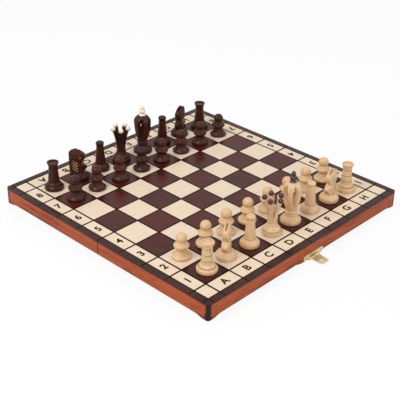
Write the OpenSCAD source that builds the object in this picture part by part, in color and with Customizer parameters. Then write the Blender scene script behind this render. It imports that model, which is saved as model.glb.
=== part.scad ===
// Folding chess box: two shallow wooden trays whose backs make the playing board.
// Opened flat, open sides down, it is the board; folded under, it is the box for the men.
// Origin: middle of the hinge line, on the plane that the feet stand on.
// +X runs from file a to file h, +Y from rank 1 to rank 8, +Z up.

/* [Board] */
// Side of one square
square = 33; // [30:0.5:38]
// Width of the strip with the rank numbers, beside files a and h
number_strip = 16; // [13:0.5:20]
// Width of the strip with the file letters, before ranks 1 and 8
letter_strip = 18.5; // [15:0.5:22]
// Width of the dark rim beside the number strips
rim_side = 7; // [5:0.5:7.5]
// Width of the dark rim beyond the letter strips
rim_end = 7; // [5:0.5:9]
// Width of the burnt line between two squares
line_w = 1; // [0.6:0.1:1.6]
// Thickness of the veneer squares
veneer_t = 0.6; // [0.4:0.1:1]

/* [Case] */
// Height of one tray, from feet to playing surface
tray_h = 19.5; // [18:0.5:26]
// Thickness of the walls
wall_t = 8; // [7.6:0.2:10]
// Thickness of the top panel, veneer included
panel_t = 3; // [2.4:0.2:5]
// Radius of the upright outer corners
corner_r = 3; // [1:0.5:6]
// Width of the seam between the two trays
seam = 0.4; // [0.2:0.1:1]
// Height of the walls' lower edge above the feet
edge_rise = 2; // [1.4:0.2:4]
// Length of the flat sole of a corner foot
foot_flat = 6; // [4:0.5:14]
// Length of the S-curve from a foot to the raised edge
foot_curve = 12; // [8:1:20]
// Half length of the flat sole of the foot under the clasp
clasp_foot_half = 14; // [12:1:22]
// Length of the hinge walls' full-height stretch beyond each hinge
hinge_land = 11; // [4:1:20]
// Depth of the burnt ticks across the rim
tick_depth = 0.4; // [0.2:0.1:0.8]

/* [Hinges] */
// Distance of each hinge from the middle of the board
hinge_x = 75; // [50:1:82]
// Length of a hinge along the seam
hinge_len = 18; // [15:1:22]
// Width of one leaf, from the hinge axis
leaf_w = 6.6; // [6:0.2:7.2]
// Thickness of the leaves
leaf_t = 0.8; // [0.6:0.1:1]
// Outer radius of the hinge knuckles
knuckle_r = 1.25; // [1.1:0.05:1.5]
// Radius of the hinge pins
hinge_pin_r = 0.6; // [0.5:0.05:0.7]
// Radius of the hinge screws' heads
screw_head_r = 1.4; // [1.1:0.1:1.6]
// Radius of the hinge screws' shanks
screw_r = 0.7; // [0.5:0.1:0.8]
// Length of the hinge screws
screw_len = 5.5; // [4:0.5:8]

/* [Clasp] */
// Place of the clasp along the outer wall
clasp_x = 4; // [-4:0.5:6]
// Length of the clasp plate between its pointed ends
plate_len = 34; // [30:1:40]
// Height of the clasp plate
plate_h = 6; // [5.4:0.2:8]
// Thickness of the clasp plate
plate_t = 0.8; // [0.6:0.1:1.2]
// Length of each of the plate's two knuckles
plate_knuckle = 2.6; // [2:0.2:3.4]
// Outer radius of the clasp's knuckles
clasp_knuckle_r = 1.1; // [1:0.05:1.3]
// Radius of the clasp's pin
clasp_pin_r = 0.5; // [0.4:0.05:0.6]
// Height of the clasp's pin above the feet
clasp_pin_z = 1.7; // [1.5:0.1:2.2]
// Width of the flap
flap_w = 12.6; // [10:0.2:15]
// Length of the flap from its pin
flap_len = 14.5; // [12:0.5:16]
// Thickness of the flap
flap_t = 0.7; // [0.5:0.1:0.9]
// Distance of the flap's hole from its pin
flap_hole_dist = 9.6; // [8:0.2:11]
// Radius of the flap's hole
flap_hole_r = 1.6; // [1.3:0.1:2]
// Angle at which the flap's tip hangs down onto the table
flap_droop = 4.5; // [1:0.5:5]
// Clear space round the catch stud in the flap's hole
catch_clear = 0.45; // [0.3:0.05:0.6]
// Radius of the catch's base
catch_base_r = 4; // [3:0.2:5]
// Radius of the clasp nails' heads
nail_head_r = 1.2; // [0.9:0.1:1.5]

/* [Men] */
// Height of a pawn
pawn_h = 28.5; // [24:0.5:32]
// Height of a rook
rook_h = 33; // [29:0.5:38]
// Height of a knight
knight_h = 38; // [33:0.5:42]
// Height of a bishop
bishop_h = 36; // [32:0.5:41]
// Height of a queen, to the top of its pearls
queen_h = 45; // [40:0.5:51]
// Height of a king, to the tip of its finial
king_h = 61; // [54:0.5:68]
// Radius of a pawn's foot
pawn_r = 10; // [8.5:0.1:11]
// Radius of a rook's, knight's or bishop's foot
officer_r = 10.9; // [9.5:0.1:12.5]
// Radius of a queen's or king's foot
royal_r = 11.6; // [10.5:0.1:13]
// Thickness of a knight's head
knight_t = 9; // [7:0.2:11]
// Number of prongs on a queen's crown
prongs = 5; // [4:1:6]
// Radius of the pearls on a queen's crown
pearl_r = 2.9; // [2.4:0.1:3.1]
// Number of flutes with almond holes round a king's head
king_flutes = 5; // [3:1:6]

/* [Fits] */
// Clear space between a let-in piece and its bed
bed_gap = 0.05; // [0:0.01:0.1]
// Clear space round a pin in its knuckles
pin_clear = 0.05; // [0.03:0.01:0.1]
// Clear space between two knuckles of one hinge
knuckle_gap = 0.2; // [0.1:0.05:0.4]
// Clear space between a turning knuckle and the wood or brass round it
barrel_clear = 0.25; // [0.2:0.05:0.4]
// Clear space round a screw's or nail's shank
shank_clear = 0.02; // [0.01:0.01:0.05]

/* [Hidden] */
$fn = 64;
files = 8;
half_ranks = files / 2;
field = files * square;
panel_half_x = field / 2 + number_strip;
panel_end_y = field / 2 + letter_strip;
half_x = panel_half_x + rim_side;
half_y = panel_end_y + rim_end;
seam_y = seam / 2;
panel_z = tray_h - panel_t;
bed_z = tray_h - veneer_t;
curve_r = (foot_curve * foot_curve + edge_rise * edge_rise) / (4 * edge_rise);
overlap = 1;
file_letters = ["a", "b", "c", "d", "e", "f", "g", "h"];
back_rank = ["rook", "knight", "bishop", "queen", "king", "bishop", "knight", "rook"];
board_lines_x = concat([-panel_half_x], [for (i = [0:files]) i * square - field / 2], [panel_half_x]);
board_lines_y = concat([for (i = [0:half_ranks]) i * square], [panel_end_y]);
leaf_z = bed_gap;
hinge_land_half = hinge_x + hinge_len / 2 + hinge_land;
barrel_bore_r = knuckle_r + barrel_clear;
screw_sink = leaf_t * 0.8;
screw_slot_w = 0.4;
screw_tip = 1.5;
knuckle_len = (hinge_len - 2 * knuckle_gap) / 3;
leaf_screw_x = hinge_len / 2 - knuckle_len / 2;
leaf_screw_y = (barrel_bore_r + leaf_w) / 2;
clasp_pin_out = plate_t + clasp_knuckle_r + barrel_clear;
barrel_half = flap_w / 2 + knuckle_gap + plate_knuckle;
flap_corner = 3;
flap_roll_r = 0.9;
flap_roll_gap = 2.6;
nail_x = plate_len / 2 - 4;
nail_r = 0.6;
nail_len = 5;
nail_short = 0.1;
nail_dome = nail_head_r / 2;
plate_z = clasp_pin_z - 1;
nail_z = plate_z + plate_h * 0.6;
catch_r = flap_hole_r - catch_clear;
catch_z = flap_hole_dist - clasp_pin_z;
catch_root = 5;
catch_base_t = 0.7;
catch_reach = clasp_pin_out + flap_t / 2 + 0.6;
catch_head_t = 0.8;
catch_head_r = catch_r + 0.2;
light_wood = "burlywood";
dark_wood = "saddlebrown";
knight_turns = [[213, 188], [-42, 198]];
queen_turns = [55, 16];
king_turns = [24, 5];
queen_file = 3;
king_file = 4;
// offsets of the light and the dark men, from file a to file h
officer_off = [[1.8, -2.3, 0, 1.2, 0, 0, 1, 0], [-3, 0, -0.9, -1.4, 0, 0, -2.3, 0]];
pawn_off = [[0, 1.2, 0, 0.4, 0, 0, 0, 0], [0, -1.3, 0, 0.4, 0, 0, 0, 0]];
crown_r = royal_r * 0.91;
crown_z = queen_h - pearl_r * 1.6;
slot_in = 1;
pearl_in = 1.2;
king_head_z = king_h * 0.26;
king_head_r = royal_r * 0.88;
king_wide_z = king_h * 0.665;
king_top_z = king_h * 0.79;
king_top_r = royal_r * 0.35;
SIDES = [["near", "light", -1], ["far", "dark", 1]];

// ---------------------------------------------------------------- outlines

// Centre of an arc of radius r through p and q, on the right of the way from p to q
function arc_centre(p, q, r) =
    let (d = q - p, len = norm(d), n = [d.y, -d.x] / len)
    (p + q) / 2 + n * sqrt(r * r - len * len / 4);

// Half outline from the axis to a straight side from p up to q
module taper(p, q) {
    polygon([[0, p.y], p, q, [0, q.y]]);
}

// Half outline with a hollow side of radius r between p and q
module hollow(p, q, r) {
    difference() {
        taper(p, q);
        translate(arc_centre(p, q, r)) circle(r);
    }
}

// Half outline with a swelling side of radius r between p and q
module swell(p, q, r) {
    c = arc_centre(q, p, r);
    taper(p, q);
    intersection() {
        translate(c) circle(r);
        translate([0, p.y]) square([c.x + r + overlap, q.y - p.y]);
    }
}

// Half outline of a disc with a fully rounded edge
module bead(r, z0, z1) {
    h = z1 - z0;
    translate([0, z0]) square([r - h / 2, h]);
    translate([r - h / 2, z0 + h / 2]) circle(h / 2);
}

// Keeps the side of a half outline that lies right of the axis
module right_of_axis(h) {
    intersection() {
        children();
        translate([0, -overlap]) square([h, h + 2 * overlap]);
    }
}

// Region under the lower edge of a wall, from u0 to u1, with an S-curve at each end asked for
module edge_relief(u0, u1, curve_start = true, curve_end = true) {
    start = curve_start ? foot_curve : 0;
    end = curve_end ? foot_curve : 0;
    translate([u0 + start, -overlap]) square([u1 - u0 - start - end, edge_rise + overlap]);
    if (curve_start) s_curve(u0);
    if (curve_end) translate([u0 + u1, 0]) mirror([1, 0]) s_curve(u0);
}

// The region under one S-curve, which leaves the sole at u and reaches the raised edge;
// the upper arc is a little larger, so that the two arcs cross cleanly
module s_curve(u) {
    upper_r = curve_r * 1.01;
    difference() {
        translate([u, -overlap]) square([foot_curve, edge_rise / 2 + overlap]);
        translate([u, curve_r]) circle(curve_r, $fn = 180);
    }
    intersection() {
        translate([u, -overlap]) square([foot_curve, edge_rise + overlap]);
        translate([u + foot_curve, edge_rise - upper_r]) circle(upper_r, $fn = 180);
    }
}

// ---------------------------------------------------------------- trays

// Turns what is drawn for the tray at +Y into the tray asked for: -1 near, 1 far
module on_tray(side) {
    if (side > 0) children();
    else mirror([0, 1, 0]) children();
}

// Plan of one tray with its two rounded outer corners
module tray_plan() {
    translate([-half_x, seam_y]) square([2 * half_x, half_y - corner_r - seam_y]);
    translate([corner_r - half_x, seam_y]) square([2 * (half_x - corner_r), half_y - seam_y]);
    for (sx = [-1, 1])
        translate([sx * (half_x - corner_r), half_y - corner_r]) circle(corner_r);
}

// The space that the top panel takes in the rabbets of the walls
module panel_bed() {
    translate([-panel_half_x - bed_gap, -overlap, panel_z])
        cube([2 * (panel_half_x + bed_gap), panel_end_y + bed_gap + overlap, panel_t + overlap]);
}

// Burnt ticks that carry the grid's lines across the rim
module rim_ticks() {
    for (y = board_lines_y)
        translate([-half_x - overlap, y - line_w / 2, tray_h - tick_depth])
            cube([2 * (half_x + overlap), line_w, tick_depth + overlap]);
    for (x = board_lines_x)
        translate([x - line_w / 2, panel_end_y - overlap, tray_h - tick_depth])
            cube([line_w, rim_end + 2 * overlap, tick_depth + overlap]);
}

// A side wall, mitred to the outer wall; sx is -1 on the left, 1 on the right
module side_wall(side, sx) {
    inner = half_x - wall_t;
    color("sienna") on_tray(side) difference() {
        linear_extrude(tray_h) intersection() {
            tray_plan();
            polygon([
                [sx * (half_x + overlap), seam_y], [sx * (half_x + overlap), half_y + overlap],
                [sx * inner, half_y - wall_t], [sx * inner, seam_y]
            ]);
        }
        panel_bed();
        rim_ticks();
        translate([sx * half_x - half_x, 0, 0]) rotate([90, 0, 90])
            linear_extrude(2 * half_x)
                edge_relief(-overlap, half_y - foot_flat, false, true);
    }
}

// The outer wall, with a foot at each corner and one under the clasp
module outer_wall(side) {
    inner = half_x - wall_t;
    color("sienna") on_tray(side) difference() {
        linear_extrude(tray_h) intersection() {
            tray_plan();
            polygon([
                [-half_x - overlap, half_y + overlap], [half_x + overlap, half_y + overlap],
                [inner, half_y - wall_t], [-inner, half_y - wall_t]
            ]);
        }
        panel_bed();
        rim_ticks();
        for (sx = [-1, 1])
            translate([0, half_y + overlap, 0]) rotate([90, 0, 0])
                linear_extrude(wall_t + 2 * overlap)
                    edge_relief(
                        min(sx * (half_x - foot_flat), sx * clasp_foot_half),
                        max(sx * (half_x - foot_flat), sx * clasp_foot_half)
                    );
        if (side < 0) for (sx = [-1, 1])
            translate([clasp_x + sx * nail_x, half_y - nail_len, nail_z]) rotate([-90, 0, 0])
                cylinder(h = nail_len + overlap, r = nail_r + shank_clear);
        else
            translate([clasp_x, half_y - catch_root, catch_z]) rotate([-90, 0, 0])
                cylinder(h = catch_root + overlap, r = catch_r + shank_clear);
    }
}

// The wall at the seam, let in for the hinges' leaves and barrels
module hinge_wall(side) {
    inner = half_x - wall_t;
    color("sienna") on_tray(side) difference() {
        translate([-inner, seam_y, 0]) cube([2 * inner, wall_t - seam_y, panel_z]);
        for (sx = [0, 1])
            mirror([sx, 0, 0]) translate([0, wall_t + overlap, 0]) rotate([90, 0, 0])
                linear_extrude(wall_t + 2 * overlap)
                    edge_relief(hinge_land_half, inner + overlap, true, false);
        for (sx = [-1, 1]) translate([sx * hinge_x, 0, 0]) {
            translate([-hinge_len / 2 - bed_gap, -overlap, -overlap])
                cube([
                    hinge_len + 2 * bed_gap, leaf_w + bed_gap + overlap,
                    leaf_z + leaf_t + overlap
                ]);
            translate([-hinge_len / 2 - barrel_clear, 0, 0]) rotate([0, 90, 0])
                cylinder(h = hinge_len + 2 * barrel_clear, r = barrel_bore_r);
            at_leaf_screws()
                cylinder(h = screw_len + leaf_z + shank_clear, r = screw_r + shank_clear);
        }
    }
}

// The top panel, let into the walls' rabbets and laid over the hinge wall
module top_panel(side) {
    color("saddlebrown") on_tray(side)
        translate([-panel_half_x, seam_y, panel_z])
            cube([2 * panel_half_x, panel_end_y - seam_y, panel_t - veneer_t]);
}

// One veneer piece between grid lines ix, ix + 1 and iy, iy + 1
module veneer_cell(ix, iy) {
    last_x = len(board_lines_x) - 2;
    last_y = len(board_lines_y) - 2;
    x0 = board_lines_x[ix] + (ix == 0 ? line_w : line_w / 2);
    x1 = board_lines_x[ix + 1] - (ix == last_x ? line_w : line_w / 2);
    y0 = board_lines_y[iy] + (iy == 0 ? max(line_w / 2, seam_y) : line_w / 2);
    y1 = board_lines_y[iy + 1] - (iy == last_y ? line_w : line_w / 2);
    translate([x0, y0, bed_z]) cube([x1 - x0, y1 - y0, veneer_t]);
}

// The dark squares of one tray
module dark_squares(side) {
    parity = side > 0 ? 0 : 1;
    color("maroon") on_tray(side)
        for (ix = [1:files], iy = [0:half_ranks - 1])
            if ((ix + iy) % 2 == 1 - parity) veneer_cell(ix, iy);
}

// The light squares of one tray, with the cells of the letter and number strips
module light_squares(side) {
    parity = side > 0 ? 0 : 1;
    color("wheat") on_tray(side)
        for (ix = [0:files + 1], iy = [0:half_ranks])
            if (ix == 0 || ix > files || iy == half_ranks || (ix + iy) % 2 == parity)
                veneer_cell(ix, iy);
}

// ---------------------------------------------------------------- hinges

// The two screw places of one leaf
module at_leaf_screws() {
    for (sx = [-1, 1]) translate([sx * leaf_screw_x, leaf_screw_y, 0]) children();
}

// One leaf with its knuckles: the far tray's has the middle one, the near tray's the other two
module hinge_leaf(side) {
    knuckle_step = knuckle_len + knuckle_gap;
    places = side > 0 ? [0] : [-1, 1];
    difference() {
        union() {
            translate([-hinge_len / 2, barrel_bore_r, leaf_z])
                cube([hinge_len, leaf_w - barrel_bore_r, leaf_t]);
            for (i = places) translate([i * knuckle_step - knuckle_len / 2, 0, 0]) {
                translate([0, 0, leaf_z]) cube([knuckle_len, leaf_w, leaf_t]);
                rotate([0, 90, 0]) cylinder(h = knuckle_len, r = knuckle_r);
            }
        }
        translate([-hinge_len, 0, 0]) rotate([0, 90, 0])
            cylinder(h = 2 * hinge_len, r = hinge_pin_r + pin_clear);
        at_leaf_screws() {
            cylinder(h = leaf_z + leaf_t + overlap, r = screw_r + shank_clear);
            translate([0, 0, leaf_z])
                cylinder(h = screw_sink, r1 = screw_head_r + shank_clear, r2 = screw_r + shank_clear);
        }
    }
}

module hinge_leaves(side) {
    color("gold") on_tray(side)
        for (sx = [-1, 1]) translate([sx * hinge_x, 0, 0]) hinge_leaf(side);
}

module hinge_pins() {
    color("darkgoldenrod")
        for (sx = [-1, 1])
            translate([sx * hinge_x - hinge_len / 2, 0, 0]) rotate([0, 90, 0])
                cylinder(h = hinge_len, r = hinge_pin_r);
}

// A countersunk wood screw, head down in its leaf, with a driver slot
module hinge_screw() {
    translate([0, 0, leaf_z]) difference() {
        union() {
            cylinder(h = screw_sink, r1 = screw_head_r, r2 = screw_r);
            cylinder(h = screw_len - screw_tip, r = screw_r);
            translate([0, 0, screw_len - screw_tip])
                cylinder(h = screw_tip, r1 = screw_r, r2 = screw_r / 3);
        }
        translate([-screw_head_r, -screw_slot_w / 2, -overlap])
            cube([2 * screw_head_r, screw_slot_w, overlap + screw_sink / 2]);
    }
}

module hinge_screws(side) {
    color("gold") on_tray(side)
        for (sx = [-1, 1]) translate([sx * hinge_x, 0, 0]) at_leaf_screws() hinge_screw();
}

// ---------------------------------------------------------------- clasp

// Moves what is drawn round the X axis to the clasp's pin, on the near outer wall
module at_clasp_pin() {
    translate([clasp_x, -half_y - clasp_pin_out, clasp_pin_z]) children();
}

module clasp_plate() {
    point = plate_h / 2;
    color("gold") difference() {
        union() {
            translate([clasp_x, -half_y, plate_z]) rotate([90, 0, 0]) linear_extrude(plate_t)
                polygon([
                    [-plate_len / 2, point], [point - plate_len / 2, 0],
                    [plate_len / 2 - point, 0], [plate_len / 2, point],
                    [plate_len / 2 - point, plate_h], [point - plate_len / 2, plate_h]
                ]);
            at_clasp_pin() for (sx = [-1, 1])
                translate([sx * (barrel_half - plate_knuckle / 2) - plate_knuckle / 2, 0, 0]) {
                    rotate([0, 90, 0]) cylinder(h = plate_knuckle, r = clasp_knuckle_r);
                    cube([plate_knuckle, clasp_pin_out - plate_t / 2, clasp_knuckle_r]);
                }
        }
        at_clasp_pin() rotate([0, 90, 0])
            cylinder(h = 2 * barrel_half + overlap, r = clasp_pin_r + pin_clear, center = true);
        for (sx = [-1, 1])
            translate([clasp_x + sx * nail_x, -half_y - plate_t - overlap, nail_z]) rotate([-90, 0, 0])
                cylinder(h = plate_t + 2 * overlap, r = nail_r + shank_clear);
    }
}

module clasp_pin() {
    color("darkgoldenrod") at_clasp_pin() rotate([0, 90, 0])
        cylinder(h = 2 * barrel_half, r = clasp_pin_r, center = true);
}

module clasp_nails() {
    dome_r = (nail_head_r * nail_head_r + nail_dome * nail_dome) / (2 * nail_dome);
    color("gold") for (sx = [-1, 1])
        translate([clasp_x + sx * nail_x, -half_y - plate_t, nail_z]) rotate([-90, 0, 0]) {
            cylinder(h = plate_t + nail_len - nail_short, r = nail_r);
            intersection() {
                translate([0, 0, dome_r - nail_dome]) sphere(dome_r);
                translate([0, 0, -nail_dome]) cylinder(h = nail_dome, r = nail_head_r);
            }
        }
}

// The flap: a rolled barrel, a tongue with a round hole, and a thumb roll in two halves at its tip
module clasp_flap() {
    tongue = flap_len - flap_corner;
    flat = flap_w / 2 - flap_corner;
    color("gold") at_clasp_pin() rotate([flap_droop, 0, 0]) difference() {
        union() {
            rotate([0, 90, 0]) cylinder(h = flap_w, r = clasp_knuckle_r, center = true);
            translate([-flap_w / 2, -tongue, -flap_t / 2]) cube([flap_w, tongue, flap_t]);
            translate([-flat, -flap_len, -flap_t / 2]) cube([2 * flat, flap_len, flap_t]);
            for (sx = [-1, 1]) {
                translate([sx * flat, -tongue, -flap_t / 2]) cylinder(h = flap_t, r = flap_corner);
                translate([sx * (flap_roll_gap + flat) / 2, -flap_len, flap_roll_r - flap_t / 2])
                    rotate([0, 90, 0]) cylinder(h = flat, r = flap_roll_r, center = true);
            }
        }
        rotate([0, 90, 0])
            cylinder(h = flap_w + overlap, r = clasp_pin_r + pin_clear, center = true);
        translate([0, -flap_hole_dist, -overlap]) cylinder(h = 2 * overlap, r = flap_hole_r);
    }
}

// The catch: a stud with a round base, on the far outer wall where the flap's hole comes down
module clasp_catch() {
    color("gold") translate([clasp_x, half_y, catch_z]) rotate([-90, 0, 0]) {
        translate([0, 0, nail_short - catch_root])
            cylinder(h = catch_root + catch_reach - nail_short, r = catch_r);
        cylinder(h = catch_base_t, r1 = catch_base_r, r2 = catch_base_r - catch_base_t);
        translate([0, 0, catch_reach])
            cylinder(h = catch_head_t, r1 = catch_head_r, r2 = catch_head_r - catch_head_t / 2);
    }
}

// ---------------------------------------------------------------- men

// Half outline of a foot: an upright side with a rounded lower edge, and a swelling top
module foot(r, side_z, top_r, top_z) {
    edge = 1;
    square([r - edge, side_z]);
    translate([0, edge]) square([r, side_z - edge]);
    translate([r - edge, edge]) circle(edge);
    swell([r, side_z - 0.01], [top_r, top_z], r);
}

module pawn() {
    ball_r = pawn_h * 0.205;
    ball_z = pawn_h - ball_r;
    foot_top = pawn_h * 0.12;
    waist_r = pawn_r * 0.57;
    waist_z = pawn_h * 0.35;
    collar_r = pawn_r * 0.81;
    collar_z = pawn_h * 0.42;
    collar_t = pawn_h * 0.145;
    neck_r = ball_r * 0.8;
    rotate_extrude() right_of_axis(pawn_h) {
        foot(pawn_r, foot_top * 0.8, pawn_r * 0.92, foot_top);
        hollow([pawn_r * 0.9, foot_top - 0.05], [waist_r, waist_z], pawn_h / 3);
        hollow([waist_r, waist_z - 0.05], [collar_r * 0.85, collar_z + 0.5], pawn_h / 6);
        bead(collar_r, collar_z, collar_z + collar_t);
        taper([collar_r * 0.8, collar_z + collar_t - 0.1], [neck_r, ball_z - ball_r * 0.55]);
        translate([0, ball_z]) circle(ball_r);
    }
}

module rook() {
    foot_top = rook_h * 0.18;
    foot_r = officer_r * 0.8;
    shoulder_z = rook_h * 0.27;
    tower_r = officer_r * 0.6;
    neck_r = officer_r * 0.47;
    neck_z = rook_h * 0.79;
    cup_r = officer_r * 0.6;
    cup_in = 1;
    groove_r = 0.45;
    rings = [rook_h * 0.39, rook_h * 0.59];
    rotate_extrude() difference() {
        union() {
            foot(officer_r, rook_h * 0.1, foot_r, foot_top);
            swell([foot_r, foot_top - 0.1], [tower_r, shoulder_z], officer_r * 0.6);
            taper([tower_r, shoulder_z - 0.1], [neck_r, neck_z]);
            hollow([neck_r, neck_z - 0.05], [cup_r, rook_h - cup_in], rook_h / 3);
            taper([cup_r, rook_h - cup_in - 0.05], [cup_r + 0.15, rook_h]);
        }
        translate([foot_r, foot_top]) circle(groove_r);
        for (z = rings)
            translate([tower_r + (neck_r - tower_r) * (z - shoulder_z) / (neck_z - shoulder_z) + 0.1, z])
                circle(groove_r);
        translate([neck_r + 0.1, neck_z]) circle(groove_r);
        translate([0, rook_h - cup_in]) square([cup_r * 0.78, cup_in + overlap]);
    }
}

module bishop() {
    foot_r = officer_r * 0.96;
    foot_top = bishop_h * 0.235;
    body_r = officer_r * 0.56;
    neck_r = officer_r * 0.39;
    neck_z = bishop_h * 0.83;
    cap_r = officer_r * 0.445;
    cap_z = bishop_h * 0.87;
    groove_r = 0.5;
    rotate_extrude() difference() {
        union() {
            foot(foot_r, bishop_h * 0.1, body_r, foot_top);
            taper([body_r, foot_top - 0.1], [neck_r, neck_z]);
            hollow([neck_r, neck_z - 0.05], [cap_r * 0.95, cap_z + 0.6], bishop_h / 8);
            bead(cap_r, cap_z, bishop_h - 0.4);
            swell([cap_r * 0.7, bishop_h - 1], [0.5, bishop_h], bishop_h / 5);
        }
        translate([body_r + 0.2, foot_top]) circle(groove_r);
    }
}

// Side outline of a knight's head and neck, facing +X
module knight_outline() {
    h = knight_h;
    difference() {
        polygon([
            [-10.4, 6], [-11.2, h * 0.27], [-11.2, h * 0.86], [-10.2, h * 0.92], [-7.6, h * 0.955],
            [-2.4, h], [-1.2, h * 0.955], [1.2, h * 0.94], [6.4, h * 0.845], [7.5, h * 0.8],
            [7.5, h * 0.71], [6.6, h * 0.675], [2.6, h * 0.54], [9, h * 0.425], [9.2, h * 0.385],
            [4.8, h * 0.26], [4.8, 6]
        ]);
        translate([8.6, h * 0.745]) circle(1.3);
    }
}

// Front outline of a knight: thick at the chest, thinner at the ears
module knight_front() {
    h = knight_h;
    t = knight_t / 2;
    polygon([
        [-t * 0.9, 6], [-t, h * 0.3], [-t, h * 0.72], [-t * 0.75, h * 0.9], [-t * 0.62, h],
        [t * 0.62, h], [t * 0.75, h * 0.9], [t, h * 0.72], [t, h * 0.3], [t * 0.9, 6]
    ]);
}

module knight() {
    h = knight_h;
    foot_top = h * 0.22;
    ear_gap = knight_t * 0.16;
    stroke = [7.6, 1.4, 0.9];
    eye_r = 1.3;
    difference() {
        union() {
            rotate_extrude() foot(officer_r, h * 0.1, officer_r * 0.6, foot_top);
            intersection() {
                rotate([90, 0, 0]) linear_extrude(knight_t, center = true) knight_outline();
                rotate([90, 0, 90]) linear_extrude(4 * officer_r, center = true) knight_front();
                cylinder(h = h + overlap, r = officer_r + 0.6);
            }
        }
        // the cut between the ears
        translate([-8, 0, h]) rotate([0, 90, 0]) rotate(45)
            linear_extrude(8 + overlap) square(2 * ear_gap, center = true);
        for (sy = [-1, 1]) {
            translate([1.6, sy * knight_t / 2, h * 0.735]) sphere(eye_r);
            for (i = [0:3])
                translate([-4.2, sy * (knight_t / 2 + stroke.y / 4), h * (0.34 + 0.085 * i)])
                    rotate([0, 36, 0]) cube(stroke, center = true);
        }
    }
}

// Places of a queen's prongs round the crown
module at_prongs() {
    for (i = [0:prongs - 1]) rotate(360 / prongs * i) children();
}

module queen() {
    foot_r = royal_r * 0.95;
    foot_top = queen_h * 0.095;
    tier_r = foot_r * 0.86;
    tier_top = queen_h * 0.155;
    stem_z = queen_h * 0.23;
    stem_r = royal_r * 0.45;
    ring_t = queen_h * 0.035;
    slot_z = queen_h * 0.42;
    slot_w = crown_r * 0.48;
    prong_t = pearl_r * 1.2;
    slot_h = crown_z - slot_z + overlap;
    slot_foot = [0.7, 3];
    difference() {
        rotate_extrude() {
            foot(foot_r, foot_top * 0.8, foot_r * 0.93, foot_top);
            bead(tier_r, foot_top - 0.2, tier_top);
            swell([tier_r * 0.92, tier_top - 0.6], [stem_r, stem_z], royal_r * 0.8);
            bead(stem_r + 0.8, stem_z, stem_z + ring_t);
            hollow([stem_r, stem_z + ring_t - 0.1], [crown_r, crown_z], queen_h * 1.7);
        }
        translate([0, 0, slot_z + slot_in])
            cylinder(h = slot_h, r1 = crown_r * 0.2, r2 = crown_r - prong_t);
        at_prongs() rotate(180 / prongs) translate([slot_in, 0, slot_z]) rotate([90, 0, 90])
            linear_extrude(2 * royal_r)
                polygon([
                    [-slot_foot.x, slot_foot.y], [0, 0], [slot_foot.x, slot_foot.y],
                    [slot_w / 2, slot_h], [-slot_w / 2, slot_h]
                ]);
        at_prongs() translate([crown_r - pearl_in, 0, queen_h - pearl_r]) rotate([90, 0, 0])
            sphere(pearl_r + bed_gap);
    }
}

module queen_pearls() {
    at_prongs() translate([crown_r - pearl_in, 0, queen_h - pearl_r]) sphere(pearl_r);
}

// The flutes of a king's head are milled with a double-bevelled disc that touches the head at the
// waist and below the shoulder; a round hollow inside opens them in almond shapes
module king() {
    foot_r = royal_r * 0.98;
    foot_top = king_h * 0.14;
    waist_r = royal_r * 0.5;
    ring_t = king_h * 0.028;
    mill_r = king_h * 0.45;
    mill_z = king_h * 0.53;
    mill_w = mill_r * 0.68;
    flute_in = royal_r * 0.28;
    hollow_r = king_h * 0.092;
    hollow_z = king_h * 0.6;
    difference() {
        rotate_extrude() {
            foot(foot_r, king_h * 0.055, waist_r, foot_top);
            taper([waist_r, foot_top - 0.1], [waist_r, king_head_z + 0.2]);
            bead(waist_r + 0.6, foot_top + 0.4, foot_top + 0.4 + ring_t);
            bead(waist_r + 1.2, king_head_z - 2 * ring_t, king_head_z - ring_t);
            swell([waist_r, king_head_z], [king_head_r, king_wide_z], king_h);
            swell([king_head_r, king_wide_z - 0.1], [king_top_r, king_top_z], king_h * 0.16);
        }
        translate([0, 0, hollow_z]) rotate([90, 0, 18]) sphere(hollow_r);
        for (i = [0:king_flutes - 1])
            rotate(360 / king_flutes * i) translate([flute_in + mill_r, 0, mill_z]) rotate([90, 0, 0])
                rotate_extrude() polygon([[0, -mill_w], [mill_r, 0], [0, mill_w]]);
    }
}

module king_finial() {
    neck_r = king_top_r * 0.55;
    lower_r = king_top_r * 0.92;
    upper_r = king_top_r * 0.66;
    tip_r = king_top_r * 0.36;
    flare_z = king_top_z + king_h * 0.03;
    lower_z = flare_z + lower_r * 0.75;
    upper_z = lower_z + lower_r * 0.75 + upper_r * 0.6;
    rotate_extrude() right_of_axis(king_h) {
        taper([king_top_r - 0.1, king_top_z], [neck_r, flare_z]);
        taper([neck_r, flare_z - 0.1], [neck_r, lower_z]);
        translate([0, lower_z]) circle(lower_r);
        translate([0, upper_z]) circle(upper_r);
        taper([upper_r * 0.6, upper_z], [tip_r * 0.8, king_h - tip_r]);
        translate([0, king_h - tip_r]) circle(tip_r);
    }
}

// Stands a man of one side on its square; side is -1 for the light men, 1 for the dark, and off is how
// far the man stands from the middle, along the board's diagonal towards +X and -Y
module on_square(side, file, rank_in, off) {
    translate([
        (file + 0.5) * square - field / 2 + off * sqrt(0.5),
        side * (half_ranks - 0.5 - rank_in) * square - off * sqrt(0.5), tray_h
    ]) children();
}

module officer(kind, side, file) {
    own = side < 0 ? 0 : 1;
    turn = kind == "knight" ? knight_turns[own][file < half_ranks ? 0 : 1]
        : kind == "queen" ? queen_turns[own] : kind == "king" ? king_turns[own] : 0;
    color(own == 0 ? light_wood : dark_wood) on_square(side, file, 0, officer_off[own][file]) rotate(turn) {
        if (kind == "rook") rook();
        if (kind == "knight") knight();
        if (kind == "bishop") bishop();
        if (kind == "queen") queen();
        if (kind == "king") king();
    }
}

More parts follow.
